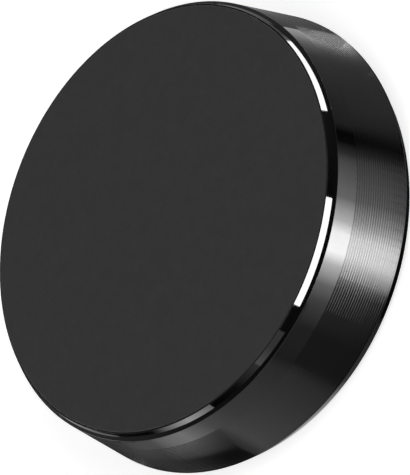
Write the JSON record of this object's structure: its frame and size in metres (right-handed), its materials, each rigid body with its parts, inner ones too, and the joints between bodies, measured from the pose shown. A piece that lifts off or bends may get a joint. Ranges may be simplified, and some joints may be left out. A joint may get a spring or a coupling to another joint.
{
  "type": "magnetic car phone holder",
  "caption": "Round stick-on magnetic phone holder: flared turned puck with a bright lip, fine turned lines, a soft pad on its face and foam tape behind.",
  "frame": {"origin": "centre of the adhesive face, on the surface that it lies on or sticks to", "axes": "+Z along the turning axis, from the adhesive face to the phone face; +X through the first magnet"},
  "size_m": [0.04, 0.04, 0.0097],
  "materials": {
    "black_anodised": "black anodised and polished, with fine turned lines",
    "soft_pad": "smooth matte silicone",
    "clear_film": "double-sided adhesive film",
    "nickel": "bright nickel plate",
    "zinc_steel": "zinc plated punched sheet",
    "moulded_black": "fine spark-eroded moulding",
    "foam_tape": "dark grey acrylic foam with a tacky face"
  },
  "bodies": {
    "root": {"housing": "black_anodised", "face_pad": "soft_pad", "pad_film": "clear_film", "magnet_carrier": "moulded_black", "magnet_1": "nickel", "magnet_2": "nickel", "magnet_3": "nickel", "magnet_4": "nickel", "magnet_5": "nickel", "magnet_6": "nickel", "yoke_plate": "zinc_steel", "base_plate": "moulded_black", "mounting_tape": "foam_tape"}
  },
  "joints": []
}
